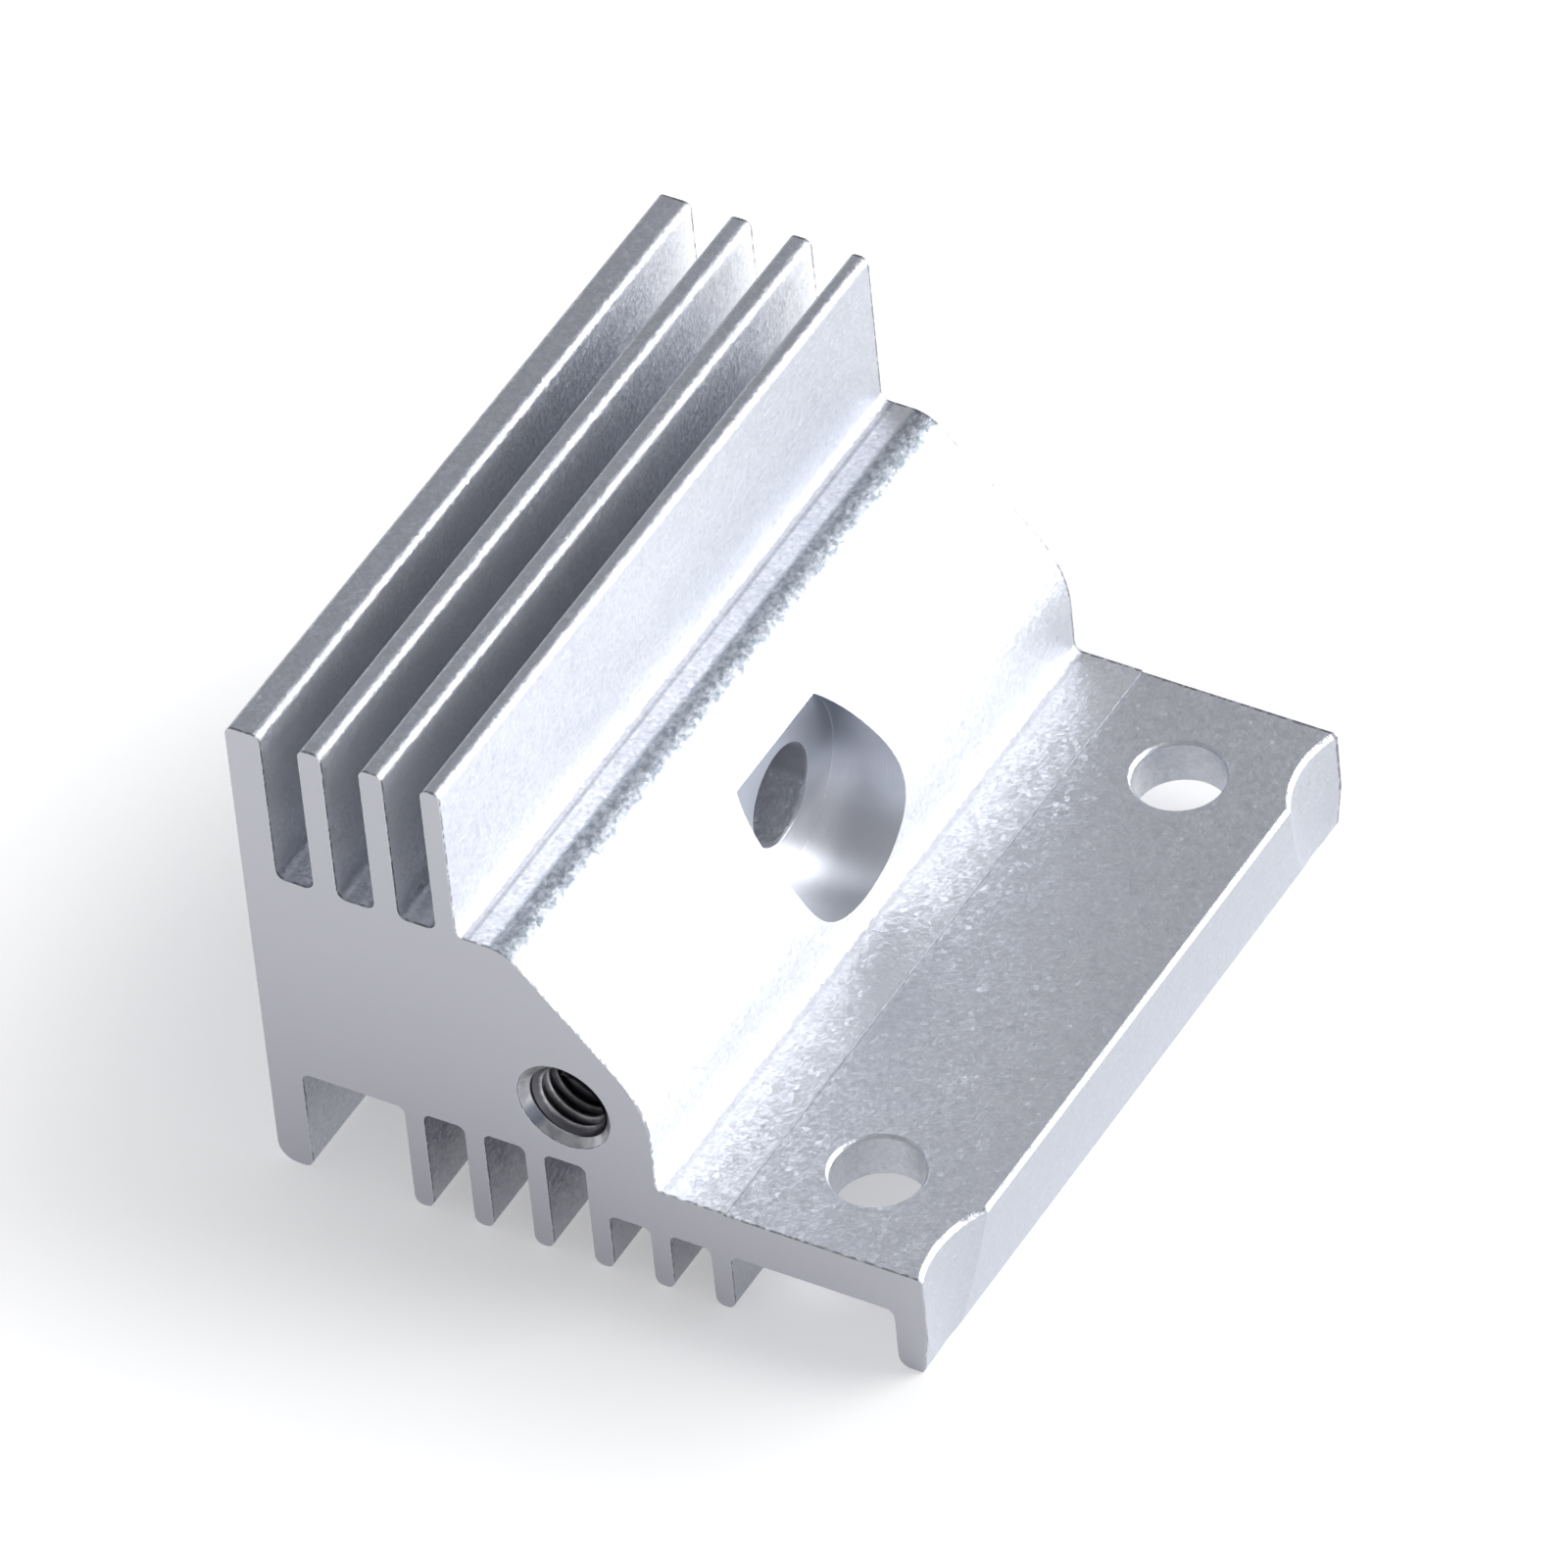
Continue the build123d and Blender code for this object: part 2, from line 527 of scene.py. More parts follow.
@dataclass
class HeatSinkBody:
    """The extruded body: where its machined places lie, and the finish it wears."""

    length: float = 40.0
    height: float = 27.0
    counterbore_axis: Vec3 = (0.0, 0.0, 12.1)
    counterbore_radius: float = 4.9
    counterbore_floor: float = -1.0
    flange_holes: tuple[Vec3, ...] = ((11.6, -14.45, 4.65), (11.6, 14.45, 4.65))
    flange_hole_radius: float = 2.25
    tapped_axis: Vec3 = (-1.4, 0.0, 9.5)
    tapped_mouth_radius: float = 2.45
    tapped_mouth_depth: float = 0.45
    tapped_end: float = -8.5
    dark_patch_centre: Vec3 = (-3.15, 0.0, 8.2)
    upper_slots: Zone = Zone(left=-15.6, right=-6.4, bottom=18.3)
    lower_slots: Zone = Zone(left=-16.0, right=6.8, top=5.5)
    ridge: Zone = Zone(left=-4.5, right=-3.2, bottom=17.2)
    side_face: Zone = Zone(left=1.6, bottom=6.2, top=12.0)
    lip_start: float = 15.5
    lip_bevel: Zone = Zone(left=15.6, bottom=5.7, top=5.9)
    land_step: Vec3 = (6.66, 0.0, 5.95)
    land_step_reach: float = 0.25
    land_top: float = 6.0
    corner_line_places: tuple[Vec3, ...] = ((-5.58, 0.0, 18.3), (3.6, 0.0, 6.0))
    finish: BlastedAluminium = field(default_factory=BlastedAluminium)

    def dress(self, node: bpy.types.Object) -> None:
        """Give the CAD node its material.

        Args:
            node: the CAD node.
        """
        material = BodyMaterial(self).build()
        for place in node.material_slots:
            place.material = material
        log.info("heat_sink: %d faces, material %s", len(node.data.polygons), material.name)


class BodyMaterial(NodeGraph):
    """The body's one material, which changes with the place on the body."""

    def __init__(self, body: HeatSinkBody) -> None:
        """Find the machined places and make the patterns that several layers share.

        Args:
            body: the body, with its sizes and its finish.
        """
        super().__init__("blasted aluminium")
        look = body.finish
        self.body, self.look = body, look
        self.ends = self.step(self.math("ABSOLUTE", self.ny), *look.end_facing)
        self.from_bore = self.from_axis(Axis.X, body.counterbore_axis)
        self.counterbore, self.holes = self.bored()
        self.mouth, self.thread = self.tapped()
        self.cut = self.any_of(self.counterbore, self.holes, self.mouth, self.thread)
        self.sawn = self.all_of(self.ends, self.outside(self.cut))
        self.plain = self.outside(self.any_of(self.cut, self.ends))
        self.grain = self.noise(look.grain)
        self.cloud = self.noise(look.cloud)
        self.spots = self.flecks(look.fleck_spacing, look.fleck_size, look.fleck_share)
        self.rounded, self.worn = self.edges()

    def build(self) -> bpy.types.Material:
        """Join the colours, the roughness and the relief.

        Returns:
            The material.
        """
        look = self.look
        facets = self.facets(look.facet_size, look.facet_tilt, look.steep_facets, look.steeper)
        facets = self.vector("SCALE", facets, scale=self.plain)
        normal = self.vector("NORMALIZE", self.vector("ADD", self.rounded, facets))
        return self.finish(self.colour(), self.roughness(), self.relief(), normal)

    def colour(self) -> Socket:
        """Lay the colours over each other.

        Returns:
            The colour.
        """
        look = self.look
        layers = (
            (self.step(self.noise(look.mottle), *look.mottle_fade), look.shade_colour),
            (self.step(self.grain, *look.pit_fade), look.shade_colour),
            (self.step(self.grain, *look.peak_fade), look.edge_colour),
            (self.math("MULTIPLY", self.spots, look.fleck_strength), look.edge_colour),
            # Painted shade on the fin tops
            (self.fin_top_shade(), look.shade_colour),
            # Painted shade in the lower channel and its slots
            (self.channel_shade(), look.channel_shade_colour),
            # Painted shade on the upright side and on the lip's outer face
            (self.any_of(self.painted_side_shade(), self.painted_lip_shade()), look.shade_colour),
            # A darker speckled band along the ridge
            (self.dark_ridge_band(), look.dark_mark_and_shade_colour),
            (self.lip_nicks(), look.dark_mark_and_shade_colour),
            # Thin darker corner lines, and painted shade on the land's step
            (self.corner_lines_and_step_shade(), look.dark_line_colour),
            # The sawn ends' own duller colour, darkened further as painted shade
            (self.sawn, look.sawn_and_shade_colour),
            # Painted highlights on the upper slots' walls and on the land
            (self.any_of(self.slot_walls(), self.land()), look.edge_colour),
            # Painted shade towards the far ends
            (self.far_end_shade(), look.shade_colour),
            # The counterbore, with painted shade and a painted highlight
            (self.counterbore, self.bored_colour()),
            # Painted shade in the tapped hole's mouth
            (self.mouth, look.mouth_shade_colour),
            (self.math("MULTIPLY", self.worn, look.edge_strength), look.edge_colour),
            (self.end_lines(), look.end_line_colour),
            (self.all_of(self.mouth, self.darkened_patch()), look.darkening_colour),
            # Painted shade on the tapped hole's wall and drill point
            (self.thread, look.tapped_hole_shade_colour),
        )
        colour = self.tint(self.step(self.cloud, *look.cloud_fade), look.dull_colour, look.colour)
        for mask, layer in layers:
            colour = self.tint(mask, colour, layer)
        return colour

    def roughness(self) -> Socket:
        """Work out how rough the metal is.

        Returns:
            The roughness.
        """
        look = self.look
        start, end = look.roughness + look.grain_change, look.roughness - look.grain_change
        clouded = self.step(self.cloud, *NOISE_RANGE, look.cloud_change, -look.cloud_change)
        rough = self.math("ADD", self.step(self.grain, *NOISE_RANGE, start, end), clouded)
        rough = self.mix(self.sawn, rough, look.sawn_roughness)
        rough = self.mix(self.cut, rough, look.cut_roughness)
        return self.mix(self.worn, rough, look.edge_roughness)

    def relief(self) -> Socket:
        """Add up the grain, the streaks, the flecks and the tool marks.

        Returns:
            The height, in thousandths of a millimetre.
        """
        look = self.look
        height = self.math("MULTIPLY", self.grain, look.grain_height)
        height = self.math("MULTIPLY_ADD", self.noise(look.fine_grain), look.fine_grain_height, height)
        height = self.math("MULTIPLY_ADD", self.noise(look.streak), look.streak_height, height)
        height = self.math("MULTIPLY_ADD", self.spots, look.fleck_height, height)
        kept = self.math("MULTIPLY_ADD", self.plain, 1.0 - look.machined_relief, look.machined_relief)
        rings = self.all_of(self.rings(), self.any_of(self.counterbore, self.holes))
        height = self.math("ADD", self.all_of(height, kept), rings)
        return self.math("ADD", height, self.all_of(self.saw_marks(), self.sawn))

    def edges(self) -> tuple[Socket, Socket]:
        """Round off the edges and find where they are worn.

        The land's step is left out, because it is lower than the rounding's radius.

        Returns:
            The rounded normal and the mask of the worn edges.
        """
        look, body = self.look, self.body
        at_step = self.below(self.from_axis(Axis.Y, body.land_step), body.land_step_reach, soft=0.1)
        bevel = self.add("ShaderNodeBevel", samples=BEVEL_SAMPLES)
        self.feed(bevel.inputs["Radius"], self.mix(at_step, look.edge_radius * MM, 0.0))
        rounded = bevel.outputs["Normal"]
        turned = self.vector("DOT_PRODUCT", rounded, self.normal)
        ragged = self.math("ADD", turned, self.math("MULTIPLY", self.grain, look.edge_raggedness))
        return rounded, self.all_of(self.step(ragged, *look.edge_fade), self.outside(at_step))

    def bored(self) -> tuple[Socket, Socket]:
        """Where the counterbore and the flange holes were cut.

        Returns:
            The counterbore's mask and the flange holes' mask.
        """
        body = self.body
        deep = self.step(self.x, body.counterbore_floor - 0.2, body.counterbore_floor - 0.05)
        wall = body.counterbore_radius
        counterbore = self.all_of(self.step(self.from_bore, wall + 0.06, wall + 0.02), deep)
        wall = body.flange_hole_radius
        distances = [self.from_axis(Axis.Z, centre) for centre in body.flange_holes]
        holes = [self.step(away, wall + 0.04, wall + 0.02) for away in distances]
        return counterbore, self.any_of(*holes)

    def bored_colour(self) -> Socket:
        """Colour of the counterbore: painted shade in its deep upper corner, and a painted highlight along
        its bottom.

        Returns:
            The colour.
        """
        look = self.look
        floor, middle = self.body.counterbore_floor, self.body.counterbore_axis[2]
        # Painted shade in the deep upper part
        upper = self.all_of(
            self.step(self.x, floor + 2.2, floor + 0.2),
            self.step(self.z, middle - 1.5, middle + 0.5, 0.0, look.bore_shade_strength),
        )
        # Painted highlight along the bottom
        lower = self.step(self.z, middle - 1.6, middle - 3.2)
        painted_bore_highlight = self.tint(lower, look.bored_colour, look.edge_colour)
        return self.tint(upper, painted_bore_highlight, look.dark_mark_and_shade_colour)

    def rings(self) -> Socket:
        """Tool marks along the walls of the bored places, and round the counterbore's floor.

        Returns:
            Their height.
        """
        look = self.look
        floor = self.all_of(self.step(self.nx, *look.floor_facing), self.counterbore)
        along = self.mix(self.counterbore, self.z, self.mix(floor, self.x, self.from_bore))
        marks = self.wave(along, look.ring_pitch)
        return self.all_of(marks, self.noise(look.ring_changes), look.ring_height)

    def saw_marks(self) -> Socket:
        """Faint arcs of the saw, round a point far off the end.

        Returns:
            Their height.
        """
        look = self.look
        arcs = self.wave(self.from_axis(Axis.Y, look.saw_centre), look.saw_pitch)
        return self.all_of(arcs, self.noise(look.saw_changes), look.saw_height)

    def tapped(self) -> tuple[Socket, Socket]:
        """Where the tapped hole's countersunk mouth is, and its wall and drill point.

        Returns:
            The mouth's mask and the mask of the wall and the drill point.
        """
        body = self.body
        near_end, wall = -body.length / 2, body.tapped_mouth_radius
        inside = self.all_of(
            self.step(self.from_axis(Axis.Y, body.tapped_axis), wall + 0.01, wall - 0.02),
            self.step(self.y, body.tapped_end, body.tapped_end - 0.1),
            self.step(self.y, near_end + 0.01, near_end + 0.04),
        )
        deep = self.above(self.y, near_end + body.tapped_mouth_depth, soft=0.04)
        return self.all_of(inside, self.outside(deep)), self.all_of(inside, deep)

    def darkened_patch(self) -> Socket:
        """A dark patch at one side of the tapped hole, and fainter stains round it.

        Returns:
            Their mask.
        """
        look = self.look
        patch = self.step(self.from_axis(Axis.Y, self.body.dark_patch_centre), *look.dark_patch_fade)
        return self.any_of(patch, self.step(self.noise(look.stain), *look.stain_fade))

    def fin_top_shade(self) -> Socket:
        """Painted shade on the tops of the wall and the upper fins."""
        top = self.body.height
        return self.step(self.z, top - 0.35, top - 0.1, 0.0, self.look.fin_top_shade_strength)

    def channel_shade(self) -> Socket:
        """Painted shade inside the lower channel, and darker painted shade in the slots beside it.

        Returns:
            Their mask.
        """
        slots = self.body.lower_slots
        return self.all_of(
            self.above(self.x, slots.left, soft=0.2),
            self.below(self.x, slots.right, soft=0.1),
            self.step(self.x, *self.look.channel_shade_fade),
            self.below(self.z, slots.top, soft=0.4),
        )

    def painted_side_shade(self) -> Socket:
        """Painted shade on the upright side below the slope, as far as it leans less than 30 degrees.

        Returns:
            Its mask.
        """
        side = self.body.side_face
        return self.all_of(
            self.above(self.x, side.left, soft=0.2),
            self.step(self.nx, *self.look.side_facing),
            self.step(self.nz, *self.look.side_upright),
            self.step(self.z, side.bottom - 0.2, side.bottom + 0.3),
            self.below(self.z, side.top, soft=0.2),
        )

    def painted_lip_shade(self) -> Socket:
        """Painted shade on the outer face of the lip."""
        beyond = self.step(self.x, self.body.lip_start, self.body.lip_start + 0.2)
        return self.all_of(beyond, self.step(self.nx, *self.look.lip_facing))

    def far_end_shade(self) -> Socket:
        """Painted shade on the outermost upper fin and the upright side, growing towards their far ends.

        Returns:
            Their mask.
        """
        half = self.body.length / 2
        slots, side = self.body.upper_slots, self.body.side_face
        fin_end = self.all_of(
            self.step(self.y, -0.3 * half, half, 0.35, 1.0),
            self.step(self.x, slots.right - 0.1, slots.right + 0.1),
            self.step(self.z, slots.bottom, slots.bottom + 0.5),
        )
        side_end = self.all_of(
            self.step(self.y, 0.4 * half, half, 0.0, 0.9),
            self.above(self.x, side.left, soft=0.2),
            self.step(self.z, side.bottom - 0.2, side.bottom + 0.3),
        )
        return self.all_of(self.any_of(fin_end, side_end), self.step(self.nx, *self.look.far_end_facing))

    def lip_nicks(self) -> Socket:
        """Dark nicks that make the bevel along the lip uneven in width.

        Returns:
            Their mask.
        """
        look, bevel = self.look, self.body.lip_bevel
        middle = 0.5 * (bevel.bottom + bevel.top)
        lifted = self.math("ADD", self.z, 0.5 * look.nick_reach)
        reach = self.math("MULTIPLY_ADD", self.noise(look.nicks), -look.nick_reach, lifted)
        return self.all_of(
            self.above(self.x, bevel.left, soft=0.1),
            self.step(reach, middle, bevel.top, 0.0, look.nick_strength),
            self.step(self.nz, *look.not_level),
            self.step(self.nz, *look.not_upright),
        )

    def dark_ridge_band(self) -> Socket:
        """The ridge above the slope, darker in a speckled band.

        Returns:
            The mask of the band.
        """
        look, ridge = self.look, self.body.ridge
        speckle = self.noise(look.speckle)
        lowered = self.math("SUBTRACT", self.x, 0.5 * look.speckle_reach)
        ragged = self.math("MULTIPLY_ADD", speckle, look.speckle_reach, lowered)
        band = self.all_of(
            self.step(ragged, ridge.left - 0.15, ridge.left + 0.15),
            self.step(ragged, ridge.right + 0.15, ridge.right - 0.2),
            self.step(self.z, ridge.bottom - 0.1, ridge.bottom + 0.1),
        )
        return self.all_of(band, self.step(speckle, *look.speckle_fade))

    def corner_lines_and_step_shade(self) -> Socket:
        """Thin darker lines in the corners where the ledge and the land begin, and painted shade over the
        land's step.

        Returns:
            Their mask.
        """
        look, body = self.look, self.body
        lines = [self.step(self.from_axis(Axis.Y, place), *look.corner_line_fade) for place in body.corner_line_places]
        lines.append(self.step(self.from_axis(Axis.Y, body.land_step), *look.land_step_shade_fade))
        return self.any_of(*lines)

    def land(self) -> Socket:
        """A painted highlight on the top of the land beside the slope, which lies a little above the
        flange.

        Returns:
            Its mask.
        """
        top = self.body.land_top
        level = self.all_of(
            self.step(self.z, top - 0.06, top - 0.02),
            self.step(self.z, top + 0.08, top + 0.03),
        )
        return self.all_of(level, self.step(self.nz, *self.look.bright_facing))

    def slot_walls(self) -> Socket:
        """A painted highlight on the walls of the slots between the upper fins.

        Returns:
            Their mask.
        """
        slots = self.body.upper_slots
        inside = self.all_of(
            self.above(self.x, slots.left, soft=0.15),
            self.below(self.x, slots.right, soft=0.15),
        )
        walls = self.step(self.math("ABSOLUTE", self.nx), *self.look.bright_facing)
        return self.all_of(inside, walls, self.step(self.z, slots.bottom, slots.bottom + 0.4))

    def end_lines(self) -> Socket:
        """A dark broken line on the long faces, right at both ends.

        Returns:
            Its mask.
        """
        look, half = self.look, self.body.length / 2
        ragged = self.noise(look.end_lines)
        from_middle = self.math("MULTIPLY_ADD", ragged, look.end_line_width, self.math("ABSOLUTE", self.y))
        line = self.step(from_middle, half - 0.06, half - 0.02)
        on_faces = self.outside(self.any_of(self.ends, self.mouth))
        return self.all_of(line, on_faces, self.step(ragged, *look.end_line_fade))


@dataclass(frozen=True)
class CutThread:
    """Bare metal left by the tap: bright crests over flanks darkened as painted shade, with painted shade
    deeper in the hole.
    """

    crest_colour: Colour = (0.86, 0.85, 0.84)
    # Painted shade on the flanks between the turns
    flank_shade_colour: Colour = (0.125, 0.125, 0.14)
    # Painted shade deeper in the hole
    darkening_colour: Colour = (0.04, 0.04, 0.05)
    deep_shade_fade: Fade = (-19.2, -17.4, 0.0, 0.85)
    bare_share: float = 0.6
    roughness: float = 0.3
    smoother: float = 0.05
    rougher: float = 0.1
    stain: Clouds = Clouds((0.5, 0.5, 0.5))
    stain_reach: float = 0.12
    scratches: Clouds = Clouds((0.05, 0.05, 0.05), 1.0)
    scratch_height: float = 1.5

    def material(self, axis_point: Vec3, crest: float, root: float) -> bpy.types.Material:
        """Build the material.

        Args:
            axis_point: a point on the hole's axis.
            crest: radius of the crests.
            root: radius of the roots.

        Returns:
            The material.
        """
        graph = NodeGraph("cut thread")
        stain = graph.noise(self.stain)
        away = graph.math("MULTIPLY_ADD", stain, self.stain_reach, graph.from_axis(Axis.Y, axis_point))
        bare_from = self.bare_share * root + (1.0 - self.bare_share) * crest
        colour = graph.tint(graph.step(away, bare_from, crest), self.flank_shade_colour, self.crest_colour)
        # Painted shade deeper in the hole
        colour = graph.tint(graph.step(graph.y, *self.deep_shade_fade), colour, self.darkening_colour)
        low, high = self.roughness - self.smoother, self.roughness + self.rougher
        scratch = graph.math("MULTIPLY", graph.noise(self.scratches), self.scratch_height)
        geometry = graph.add("ShaderNodeNewGeometry")
        rough = graph.step(stain, *NOISE_RANGE, low, high)
        return graph.finish(colour, rough, scratch, geometry.outputs["Normal"])


def looped_grid(rows: int, columns: int) -> tuple[np.ndarray, np.ndarray]:
    """Number the points of a grid whose rows close into loops, and join them with quads.

    Args:
        rows: how many loops there are.
        columns: how many points a loop has.

    Returns:
        The points' numbers as rows by columns, and the quads as an array by 4.
    """
    index = np.arange(rows * columns).reshape(rows, columns)
    right = np.roll(index, -1, axis=1)
    quads = np.stack([index[:-1], index[1:], right[1:], right[:-1]], axis=-1)
    return index, quads.reshape(-1, 4)


def add_piece(name: str, points: np.ndarray, faces: list, material: bpy.types.Material) -> bpy.types.Object:
    """Make an object from points and faces and put it into the scene.

    Args:
        name: the object's and the mesh's name.
        points: an array of points by 3, in metres.
        faces: lists of point numbers.
        material: what it is made of.

    Returns:
        The object.
    """
    mesh = bpy.data.meshes.new(name)
    mesh.from_pydata(points.tolist(), [], faces)
    mesh.update()
    mesh.materials.append(material)
    piece = bpy.data.objects.new(name, mesh)
    bpy.context.scene.collection.objects.link(piece)
    return piece


@dataclass
class ThreadTurns:
    """The turns of the tapped hole, one ridge wound along a helix inside its bore."""

    axis_point: Vec3 = (-1.4, 0.0, 9.5)
    end_face: float = -20.0
    mouth_radius: float = 2.45
    bore_radius: float = 2.0
    crest_radius: float = 1.62
    pitch: float = 0.7
    first_turn: float = -19.6
    last_turn: float = -10.4
    steps_per_turn: int = 48
    fading_turns: float = 0.75
    buried: float = 0.03
    buried_width: float = 0.02
    crest_rounding: tuple[float, float] = (0.6, 0.98)
    crest_edge: float = 0.9
    finish: CutThread = field(default_factory=CutThread)

    def section(self) -> tuple[np.ndarray, np.ndarray]:
        """The ridge's section: a 60 degree ridge with a flat, slightly rounded crest.

        Its foot is buried in the bore's wall.  The crest is an eighth of the pitch to
        either side of the middle, and the foot seven sixteenths.

        Returns:
            Distances along the axis from the ridge's middle, and radii.
        """
        flat, base = self.pitch / 8, self.pitch * 7 / 16
        share, round_rise = self.crest_rounding
        half = np.array([flat * share, flat, base, base + self.buried_width])
        half_rise = np.array([round_rise, self.crest_edge, 0.0, 0.0])
        along = np.concatenate([-half[::-1], [0.0], half])
        rise = np.concatenate([half_rise[::-1], [1.0], half_rise])
        radius = self.bore_radius - rise * (self.bore_radius - self.crest_radius)
        radius[[0, -1]] += self.buried
        return along, radius

    def points(self) -> np.ndarray:
        """Points of the ridge on a grid of turn angle by section point.

        At angle a the section sits at y = first turn + pitch * a / (2 pi), turned by
        a about the axis.  Its radii are never less than the countersunk cone, which
        narrows by its depth, and fade out to the bore over the last three quarters
        of a turn.

        Returns:
            An array of angles by section points by 3.
        """
        along, radius = self.section()
        turns = (self.last_turn - self.first_turn) / self.pitch
        angle = np.linspace(0.0, FULL_TURN * turns, int(turns * self.steps_per_turn) + 1)[:, None]
        y = self.first_turn + self.pitch * angle / FULL_TURN + along[None, :]
        outer = self.bore_radius + self.buried
        fade = np.clip((angle[-1] - angle) / (FULL_TURN * self.fading_turns), 0.0, 1.0)
        reach = outer - (outer - radius[None, :]) * fade
        cone = np.minimum(self.mouth_radius - (y - self.end_face), outer)
        reach = np.maximum(reach, cone)
        x = self.axis_point[0] + reach * np.sin(angle)
        z = self.axis_point[2] + reach * np.cos(angle)
        return np.stack([x, y, z], axis=-1)

    def build(self) -> bpy.types.Object:
        """Make the ridge as one closed mesh, dress it and let it ride on the body.

        Returns:
            The new piece.
        """
        grid = self.points()
        index, quads = looped_grid(*grid.shape[:2])
        faces = quads[:, [0, 3, 2, 1]].tolist() + [index[0, ::-1].tolist(), index[-1].tolist()]
        material = self.finish.material(self.axis_point, self.crest_radius, self.bore_radius)
        piece = add_piece("thread_turns", grid.reshape(-1, 3) * MM, faces, material)
        piece.data.polygons.foreach_set("use_smooth", np.ones(len(faces), bool))
        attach(piece, "root")
        log.info("thread_turns: %d faces, pitch %.2f mm", len(faces), self.pitch)
        return piece


@dataclass(frozen=True)
class AreaLamp:
    """One soft box, aimed at the middle of the heat sink, with its sizes in metres and watts."""

    name: str
    direction: Vec3
    distance: float
    width: float
    height: float
    power: float
    colour: Colour = (1.0, 1.0, 1.0)

    def build(self, target: Vector) -> bpy.types.Object:
        """Place the lamp.

        Args:
            target: the point it is aimed at, in metres.

        Returns:
            The lamp.
        """
        data = bpy.data.lights.new(self.name, "AREA")
        data.shape, data.size, data.size_y = "RECTANGLE", self.width, self.height
        data.energy, data.color = self.power, self.colour
        lamp = bpy.data.objects.new(self.name, data)
        bpy.context.scene.collection.objects.link(lamp)
        way = Vector(self.direction).normalized()
        lamp.location = target + way * self.distance
        lamp.rotation_mode = "QUATERNION"
        lamp.rotation_quaternion = way.to_track_quat("Z", "Y")
        log.info("%s: %.1f W at %.2f m", self.name, self.power, self.distance)
        return lamp


def add_step(nodes: bpy.types.Nodes, *limits: float) -> bpy.types.Node:
    """Add a smooth step to a node tree.

    Args:
        nodes: the tree's nodes.
        limits: where the step begins and is complete, and its results before and after.

    Returns:
        The new node.
    """
    node = nodes.new("ShaderNodeMapRange")
    node.interpolation_type = "SMOOTHSTEP"
    for name, limit in zip(STEP_LIMITS, limits):
        node.inputs[name].default_value = limit
    return node


@dataclass(frozen=True)
class FloorSheet:
    """A matt white sheet that glows as painted light, less near the middle and more away from it, in
    metres.
    """

    colour: Colour = (0.80, 0.80, 0.805)
    roughness: float = 0.9
    gloss: float = 0.1
    glow_reach: tuple[float, float] = (0.018, 0.06)
    near_glow: float = 0.36
    far_glow: float = 0.70

    def material(self) -> bpy.types.Material:
        """Build the material.

        Returns:
            The material.
        """
        material = bpy.data.materials.new("floor sheet")
        material.use_nodes = True
        nodes, links = material.node_tree.nodes, material.node_tree.links
        shader = nodes["Principled BSDF"]
        place = nodes.new("ShaderNodeTexCoord")
        away = nodes.new("ShaderNodeVectorMath")
        away.operation = "LENGTH"
        links.new(place.outputs["Object"], away.inputs[0])
        # Painted light: the glow, weaker near the middle, where it keeps the shade under the heat sink
        glow = add_step(nodes, *self.glow_reach, self.near_glow, self.far_glow)
        links.new(away.outputs["Value"], glow.inputs["Value"])
        shader.inputs["Base Color"].default_value = (*self.colour, 1.0)
        shader.inputs["Roughness"].default_value = self.roughness
        shader.inputs["Specular IOR Level"].default_value = self.gloss
        shader.inputs["Emission Color"].default_value = (1.0, 1.0, 1.0, 1.0)
        links.new(glow.outputs["Result"], shader.inputs["Emission Strength"])
        return material


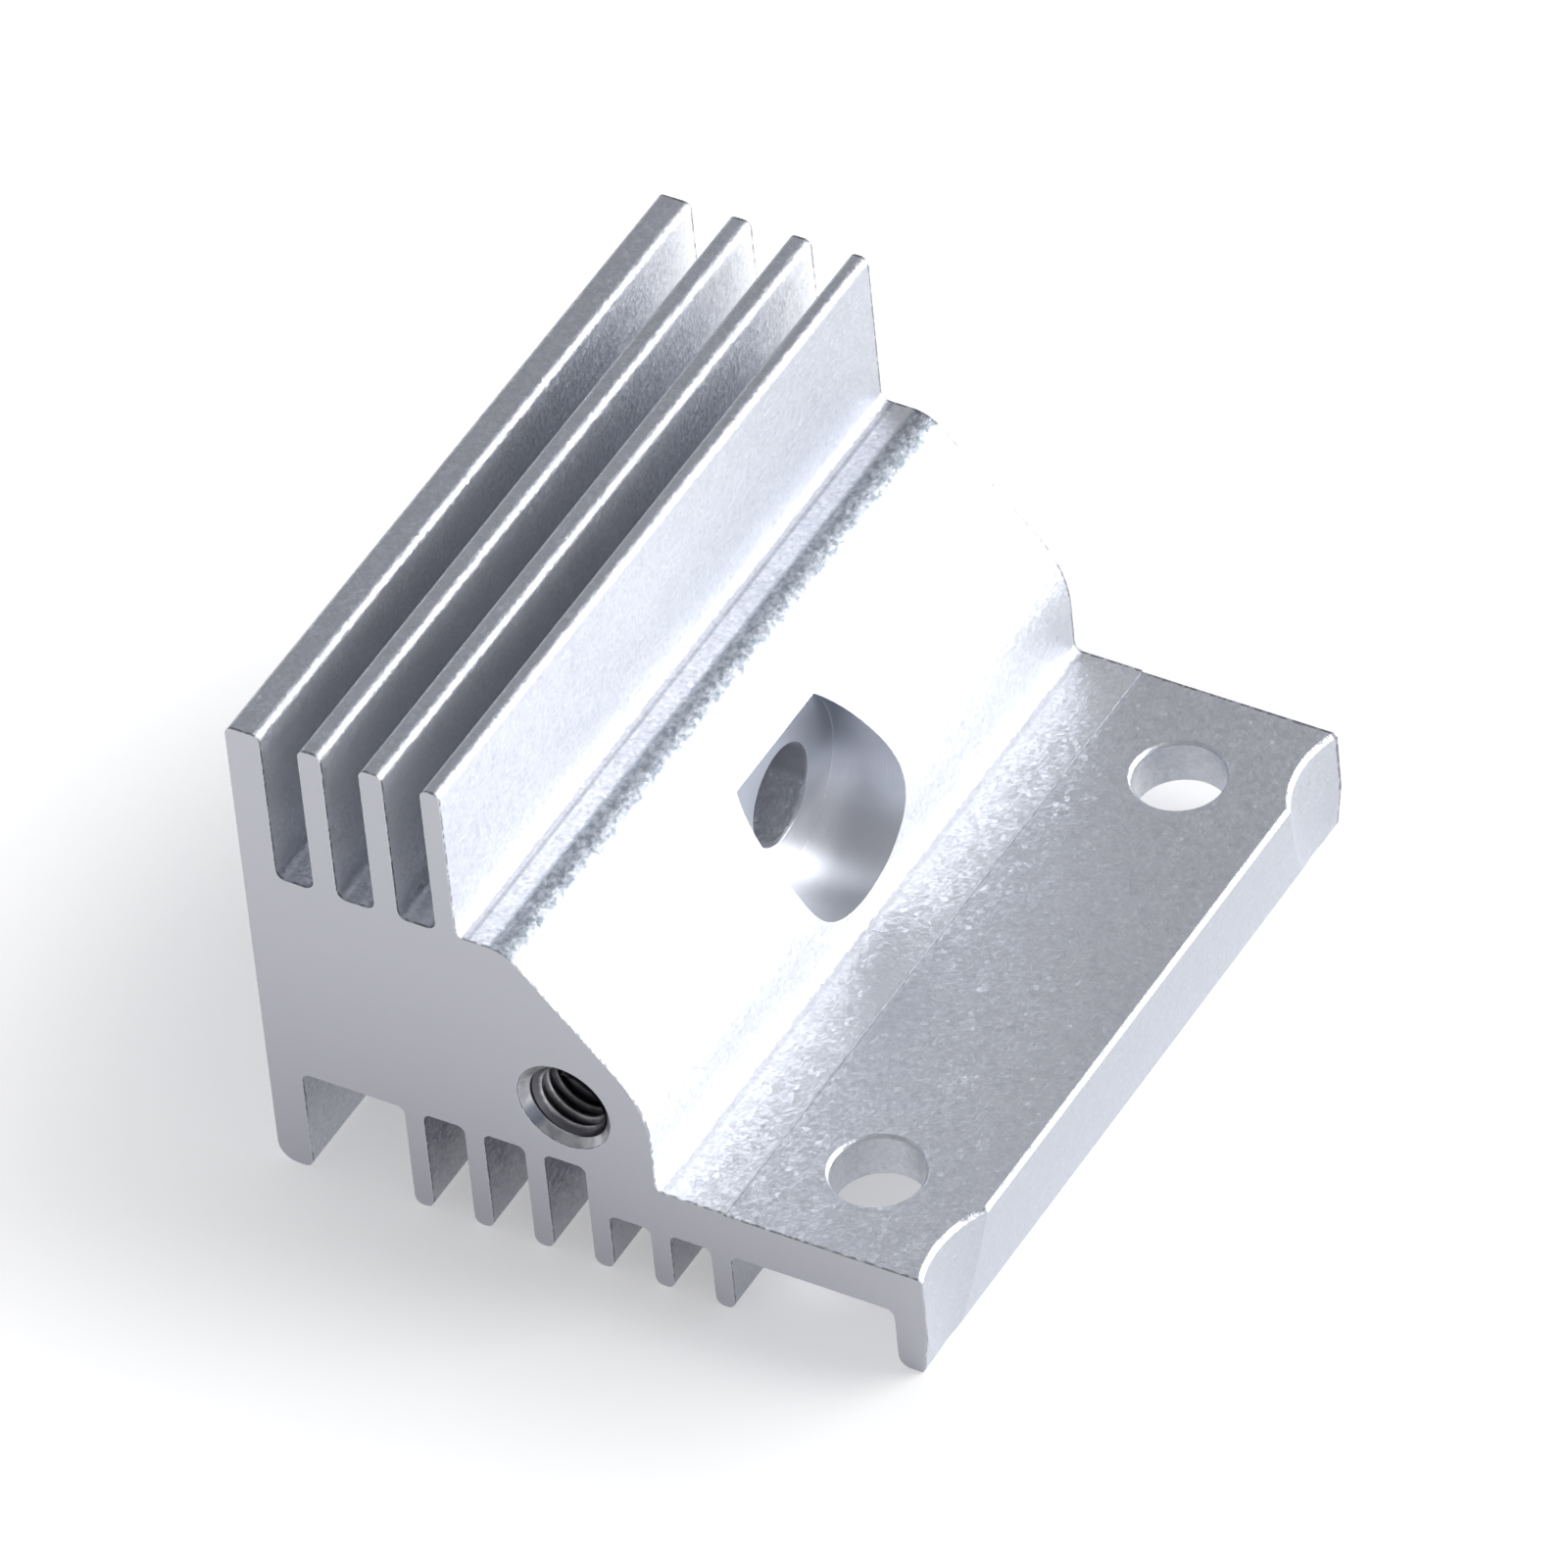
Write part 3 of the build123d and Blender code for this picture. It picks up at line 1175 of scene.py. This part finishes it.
@dataclass
class Studio:
    """Pale floor, soft lamps and a plain surrounding, all sizes in metres."""

    floor_radius: float = 5.0
    floor_hole: float = 0.02
    floor_rings: int = 24
    floor_spokes: int = 64
    floor_sheet: FloorSheet = field(default_factory=FloorSheet)
    low_colour: Colour = (0.80, 0.80, 0.82)
    high_colour: Colour = (0.32, 0.325, 0.345)
    surround_rise: tuple[float, float] = (0.0, 0.5)
    surround_strength: float = 1.0
    target: Vec3 = (0.0, 0.0, 0.012)
    lamps: tuple[AreaLamp, ...] = (
        AreaLamp("key_softbox", (0.68, 0.60, 0.25), 1.00, 1.00, 0.54, 8.6),
        AreaLamp("top_softbox", (0.48, 0.38, 0.79), 1.00, 0.50, 0.50, 2.5),
    )

    def build(self) -> None:
        """Make the floor, the surroundings and the lamps."""
        self.floor()
        self.surround()
        for lamp in self.lamps:
            lamp.build(Vector(self.target))

    def floor(self) -> bpy.types.Object:
        """A flat disc: points at a radius and an angle, with radii packed near the middle.

        Returns:
            The floor.
        """
        rings, spokes = self.floor_rings, self.floor_spokes
        radius = self.floor_radius * np.linspace(self.floor_hole, 1.0, rings)[:, None] ** 2
        angle = np.linspace(0.0, FULL_TURN, spokes, endpoint=False)[None, :]
        level = np.zeros((rings, spokes))
        points = np.stack([radius * np.cos(angle), radius * np.sin(angle), level], axis=-1)
        index, quads = looped_grid(rings, spokes)
        faces = quads.tolist() + [index[0].tolist()]
        floor = add_piece("floor", points.reshape(-1, 3), faces, self.floor_sheet.material())
        log.info("floor: %.1f m across", 2 * self.floor_radius)
        return floor

    def surround(self) -> None:
        """Light all round that is pale at the horizon and darker overhead."""
        world = bpy.data.worlds.new("studio")
        world.use_nodes = True
        nodes, links = world.node_tree.nodes, world.node_tree.links
        place = nodes.new("ShaderNodeTexCoord")
        split = nodes.new("ShaderNodeSeparateXYZ")
        links.new(place.outputs["Generated"], split.inputs[0])
        rise = add_step(nodes, *self.surround_rise)
        links.new(split.outputs["Z"], rise.inputs["Value"])
        blend = nodes.new("ShaderNodeMix")
        blend.data_type = "RGBA"
        links.new(rise.outputs["Result"], blend.inputs[0])
        blend.inputs[6].default_value = (*self.low_colour, 1.0)
        blend.inputs[7].default_value = (*self.high_colour, 1.0)
        links.new(blend.outputs[2], nodes["Background"].inputs["Color"])
        nodes["Background"].inputs["Strength"].default_value = self.surround_strength
        bpy.context.scene.world = world
        log.info("surround: strength %.2f", self.surround_strength)


@dataclass(frozen=True)
class PhotoCamera:
    """The camera solved from the photograph, with its axes as rows and lengths in metres."""

    centre: Vec3 = (0.374365, -0.571830, 0.643385)
    right: Vec3 = (0.87057189, 0.48594388, -0.07722133)
    down: Vec3 = (0.28191494, -0.62124011, -0.73115299)
    forward: Vec3 = (-0.4032723, 0.61475139, -0.67782902)
    focal_pixels: float = 20672.0
    picture_pixels: float = 1600.0
    sensor: float = 36.0
    nearest: float = 0.05
    farthest: float = 20.0

    def build(self) -> bpy.types.Object:
        """Place the camera and make it the scene's.

        Returns:
            The camera.
        """
        data = bpy.data.cameras.new("photo_camera")
        data.sensor_width = self.sensor
        data.lens = self.focal_pixels * self.sensor / self.picture_pixels
        data.clip_start, data.clip_end = self.nearest, self.farthest
        camera = bpy.data.objects.new("photo_camera", data)
        bpy.context.scene.collection.objects.link(camera)
        axes = np.array([self.right, -np.array(self.down), -np.array(self.forward)]).T
        camera.rotation_mode = "QUATERNION"
        camera.rotation_quaternion = Matrix(axes.tolist()).to_quaternion()
        camera.location = self.centre
        bpy.context.scene.camera = camera
        log.info("photo_camera: lens %.1f mm", data.lens)
        return camera


def main() -> None:
    """Dress the heat sink, add its thread, and set up the studio and the camera."""
    HeatSinkBody().dress(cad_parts["heat_sink"])
    ThreadTurns().build()
    Studio().build()
    PhotoCamera().build()
    bpy.context.scene.view_settings.view_transform = "Standard"
    bpy.context.scene.cycles.glossy_bounces = GLOSSY_BOUNCES


if __name__ == "__main__":
    main()
